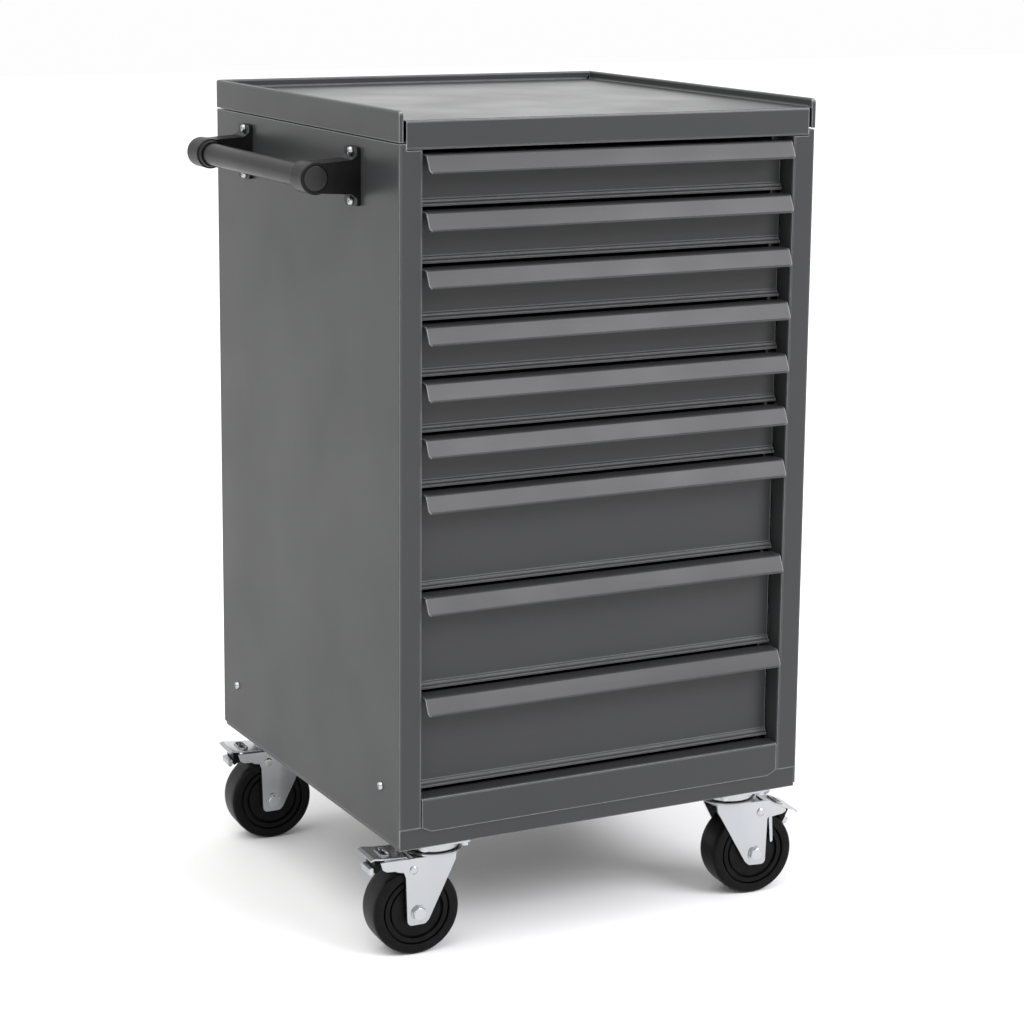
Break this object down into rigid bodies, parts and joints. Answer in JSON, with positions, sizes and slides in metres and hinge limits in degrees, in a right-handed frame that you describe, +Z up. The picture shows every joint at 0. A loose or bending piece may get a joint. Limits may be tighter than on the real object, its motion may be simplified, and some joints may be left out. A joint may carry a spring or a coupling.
{
  "type": "rolling tool chest",
  "caption": "Folded sheet-steel tool chest on braked swivel casters, with sliding lip-front drawers under a rimmed tray top and a push handle on its left side.",
  "frame": {"origin": "on the floor, below the middle of the whole chest's box with the handle and the casters included", "axes": "+Z up, -Y to the front where the drawers open, -X to the side with the handle"},
  "size_m": [0.5937, 0.5187, 0.924],
  "materials": {
    "powder_coat": "satin anthracite powder coat with a fine texture",
    "slide_steel": "zinc-plated rolled steel",
    "zinc_plate": "bright zinc plate on pressed steel",
    "screw_zinc": "bright zinc plate",
    "handle_coat": "satin dark coat on round tube",
    "black_plastic": "moulded black plastic, fine grain",
    "wheel_tread": "black elastic rubber on a moulded core"
  },
  "bodies": {
    "cabinet": {"left_side_panel": "powder_coat", "right_side_panel": "powder_coat", "back_panel": "powder_coat", "base_pan": "powder_coat", "plinth_rail": "powder_coat", "top_tray": "powder_coat", "left_runner_column": "slide_steel", "right_runner_column": "slide_steel", "handle_tube": "handle_coat", "handle_front_bracket": "black_plastic", "handle_rear_bracket": "black_plastic", "handle_front_cap": "black_plastic", "handle_rear_cap": "black_plastic", "handle_screw_front_upper": "screw_zinc", "handle_screw_front_lower": "screw_zinc", "handle_screw_rear_upper": "screw_zinc", "handle_screw_rear_lower": "screw_zinc", "panel_screw_left_front": "screw_zinc", "panel_screw_right_front": "screw_zinc", "panel_screw_left_rear": "screw_zinc", "panel_screw_right_rear": "screw_zinc", "caster_front_left_top_plate": "zinc_plate", "caster_front_right_top_plate": "zinc_plate", "caster_rear_left_top_plate": "zinc_plate", "caster_rear_right_top_plate": "zinc_plate"},
    "drawer_1": {"drawer_1_box": "powder_coat", "drawer_1_front": "powder_coat"},
    "drawer_2": {"drawer_2_box": "powder_coat", "drawer_2_front": "powder_coat"},
    "drawer_3": {"drawer_3_box": "powder_coat", "drawer_3_front": "powder_coat"},
    "drawer_4": {"drawer_4_box": "powder_coat", "drawer_4_front": "powder_coat"},
    "drawer_5": {"drawer_5_box": "powder_coat", "drawer_5_front": "powder_coat"},
    "drawer_6": {"drawer_6_box": "powder_coat", "drawer_6_front": "powder_coat"},
    "drawer_7": {"drawer_7_box": "powder_coat", "drawer_7_front": "powder_coat"},
    "drawer_8": {"drawer_8_box": "powder_coat", "drawer_8_front": "powder_coat"},
    "drawer_9": {"drawer_9_box": "powder_coat", "drawer_9_front": "powder_coat"},
    "caster_front_left_fork": {"caster_front_left_fork": "zinc_plate", "caster_front_left_axle_bolt": "zinc_plate"},
    "caster_front_left_wheel": {"caster_front_left_wheel": "wheel_tread"},
    "caster_front_left_pedal": {"caster_front_left_brake_pedal": "zinc_plate"},
    "caster_front_right_fork": {"caster_front_right_fork": "zinc_plate", "caster_front_right_axle_bolt": "zinc_plate"},
    "caster_front_right_wheel": {"caster_front_right_wheel": "wheel_tread"},
    "caster_front_right_pedal": {"caster_front_right_brake_pedal": "zinc_plate"},
    "caster_rear_left_fork": {"caster_rear_left_fork": "zinc_plate", "caster_rear_left_axle_bolt": "zinc_plate"},
    "caster_rear_left_wheel": {"caster_rear_left_wheel": "wheel_tread"},
    "caster_rear_left_pedal": {"caster_rear_left_brake_pedal": "zinc_plate"},
    "caster_rear_right_fork": {"caster_rear_right_fork": "zinc_plate", "caster_rear_right_axle_bolt": "zinc_plate"},
    "caster_rear_right_wheel": {"caster_rear_right_wheel": "wheel_tread"},
    "caster_rear_right_pedal": {"caster_rear_right_brake_pedal": "zinc_plate"}
  },
  "joints": [
    {"name": "drawer_1_slide", "type": "slide", "parent": "cabinet", "child": "drawer_1", "axis": [0, -1, 0], "range_m": [0, 0.38]},
    {"name": "drawer_2_slide", "type": "slide", "parent": "cabinet", "child": "drawer_2", "axis": [0, -1, 0], "range_m": [0, 0.38]},
    {"name": "drawer_3_slide", "type": "slide", "parent": "cabinet", "child": "drawer_3", "axis": [0, -1, 0], "range_m": [0, 0.38]},
    {"name": "drawer_4_slide", "type": "slide", "parent": "cabinet", "child": "drawer_4", "axis": [0, -1, 0], "range_m": [0, 0.38]},
    {"name": "drawer_5_slide", "type": "slide", "parent": "cabinet", "child": "drawer_5", "axis": [0, -1, 0], "range_m": [0, 0.38]},
    {"name": "drawer_6_slide", "type": "slide", "parent": "cabinet", "child": "drawer_6", "axis": [0, -1, 0], "range_m": [0, 0.38]},
    {"name": "drawer_7_slide", "type": "slide", "parent": "cabinet", "child": "drawer_7", "axis": [0, -1, 0], "range_m": [0, 0.38]},
    {"name": "drawer_8_slide", "type": "slide", "parent": "cabinet", "child": "drawer_8", "axis": [0, -1, 0], "range_m": [0, 0.38]},
    {"name": "drawer_9_slide", "type": "slide", "parent": "cabinet", "child": "drawer_9", "axis": [0, -1, 0], "range_m": [0, 0.38]},
    {"name": "caster_front_left_swivel", "type": "hinge", "parent": "cabinet", "child": "caster_front_left_fork", "pos_m": [-0.1669, -0.2027, 0.115], "axis": [0, 0, 1], "continuous": true},
    {"name": "caster_front_left_roll", "type": "hinge", "parent": "caster_front_left_fork", "child": "caster_front_left_wheel", "pos_m": [-0.19185, -0.20113, 0.05], "axis": [-0.0628, -0.998, 0], "continuous": true},
    {"name": "caster_front_left_brake", "type": "hinge", "parent": "caster_front_left_fork", "child": "caster_front_left_pedal", "pos_m": [-0.19784, -0.20075, 0.1], "axis": [-0.0628, -0.998, 0], "range_deg": [0, 25]},
    {"name": "caster_front_right_swivel", "type": "hinge", "parent": "cabinet", "child": "caster_front_right_fork", "pos_m": [0.2141, -0.2027, 0.115], "axis": [0, 0, 1], "continuous": true},
    {"name": "caster_front_right_roll", "type": "hinge", "parent": "caster_front_right_fork", "child": "caster_front_right_wheel", "pos_m": [0.23899, -0.20505, 0.05], "axis": [0.0941, 0.9956, 0], "continuous": true},
    {"name": "caster_front_right_brake", "type": "hinge", "parent": "caster_front_right_fork", "child": "caster_front_right_pedal", "pos_m": [0.24496, -0.20562, 0.1], "axis": [0.0941, 0.9956, 0], "range_deg": [-25, 0]},
    {"name": "caster_rear_left_swivel", "type": "hinge", "parent": "cabinet", "child": "caster_rear_left_fork", "pos_m": [-0.1669, 0.2113, 0.115], "axis": [0, 0, 1], "continuous": true},
    {"name": "caster_rear_left_roll", "type": "hinge", "parent": "caster_rear_left_fork", "child": "caster_rear_left_wheel", "pos_m": [-0.19183, 0.21317, 0.05], "axis": [-0.075, -0.9972, 0], "continuous": true},
    {"name": "caster_rear_left_brake", "type": "hinge", "parent": "caster_rear_left_fork", "child": "caster_rear_left_pedal", "pos_m": [-0.19781, 0.21362, 0.1], "axis": [-0.075, -0.9972, 0], "range_deg": [0, 25]},
    {"name": "caster_rear_right_swivel", "type": "hinge", "parent": "cabinet", "child": "caster_rear_right_fork", "pos_m": [0.2141, 0.2113, 0.115], "axis": [0, 0, 1], "continuous": true},
    {"name": "caster_rear_right_roll", "type": "hinge", "parent": "caster_rear_right_fork", "child": "caster_rear_right_wheel", "pos_m": [0.23905, 0.21283, 0.05], "axis": [-0.061, 0.9981, 0], "continuous": true},
    {"name": "caster_rear_right_brake", "type": "hinge", "parent": "caster_rear_right_fork", "child": "caster_rear_right_pedal", "pos_m": [0.24504, 0.21319, 0.1], "axis": [-0.061, 0.9981, 0], "range_deg": [0, 25]}
  ]
}
